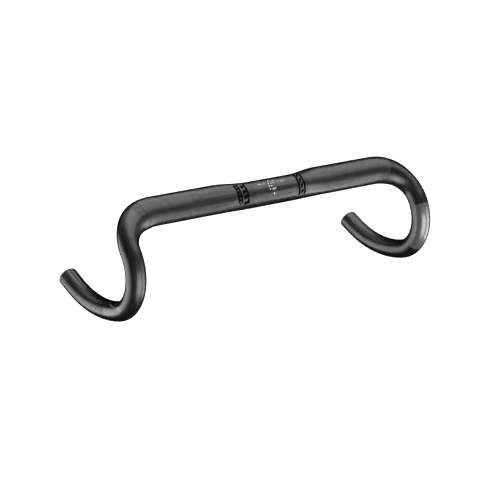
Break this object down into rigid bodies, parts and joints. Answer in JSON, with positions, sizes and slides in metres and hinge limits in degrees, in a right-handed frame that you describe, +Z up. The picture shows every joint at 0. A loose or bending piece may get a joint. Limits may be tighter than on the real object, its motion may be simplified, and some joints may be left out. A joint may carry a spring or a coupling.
{
  "type": "drop handlebar",
  "caption": "Compact drop handlebar: oval-topped composite bar with a round stem clamp zone, curved hooks, bonded shoulder joints and expanding end plugs.",
  "frame": {"origin": "middle of the round stem clamp zone, on the bar's centreline", "axes": "+X towards the rider's left along the clamp zone, +Y to the rear of the bicycle, +Z up, with the lever ramps 8 degrees nose-down as ridden"},
  "size_m": [0.4484, 0.1139, 0.1684],
  "materials": {
    "satin_carbon": "satin lacquered carbon-fibre laminate, unidirectional ply",
    "wrap_carbon": "satin lacquered carbon-fibre over-wrap ply",
    "sleeve_carbon": "raw moulded carbon-fibre",
    "black_print": "matte black film",
    "white_print": "matte white film",
    "cap_plastic": "fine-textured black moulding",
    "zinc_steel": "zinc-plated",
    "grey_nylon": "moulded nylon",
    "bare_aluminium": "turned"
  },
  "bodies": {
    "bar": {"centre_section": "satin_carbon", "left_drop": "satin_carbon", "right_drop": "satin_carbon", "left_joint_sleeve": "sleeve_carbon", "right_joint_sleeve": "sleeve_carbon", "left_joint_wrap": "wrap_carbon", "right_joint_wrap": "wrap_carbon", "left_graphic_band": "black_print", "right_graphic_band": "black_print", "centre_scale": "white_print"},
    "left_plug": {"left_end_cap": "cap_plastic", "left_plug_washer": "zinc_steel", "left_expander_collar": "grey_nylon"},
    "left_screw": {"left_plug_screw": "zinc_steel"},
    "left_wedge": {"left_wedge_nut": "bare_aluminium"},
    "right_plug": {"right_end_cap": "cap_plastic", "right_plug_washer": "zinc_steel", "right_expander_collar": "grey_nylon"},
    "right_screw": {"right_plug_screw": "zinc_steel"},
    "right_wedge": {"right_wedge_nut": "bare_aluminium"}
  },
  "joints": [
    {"name": "left_plug_pull", "type": "slide", "parent": "bar", "child": "left_plug", "axis": [0.0079, 0.9483, -0.3172], "range_m": [0, 0.03]},
    {"name": "left_screw_turn", "type": "hinge", "parent": "left_plug", "child": "left_screw", "pos_m": [0.21227, 0.01291, -0.14047], "axis": [0.0079, 0.9483, -0.3172], "range_deg": [0, 1080]},
    {"name": "left_wedge_travel", "type": "slide", "parent": "left_plug", "child": "left_wedge", "axis": [-0.0079, -0.9483, 0.3172], "range_m": [0, 0.0021]},
    {"name": "right_plug_pull", "type": "slide", "parent": "bar", "child": "right_plug", "axis": [-0.0079, 0.9483, -0.3172], "range_m": [0, 0.03]},
    {"name": "right_screw_turn", "type": "hinge", "parent": "right_plug", "child": "right_screw", "pos_m": [-0.21227, 0.01291, -0.14047], "axis": [-0.0079, 0.9483, -0.3172], "range_deg": [0, 1080]},
    {"name": "right_wedge_travel", "type": "slide", "parent": "right_plug", "child": "right_wedge", "axis": [0.0079, -0.9483, 0.3172], "range_m": [0, 0.0021]}
  ],
  "couplings": [
    {"joint": "left_screw_turn", "follows": "left_wedge_travel", "rad_per_m": 8976},
    {"joint": "right_screw_turn", "follows": "right_wedge_travel", "rad_per_m": 8976}
  ]
}
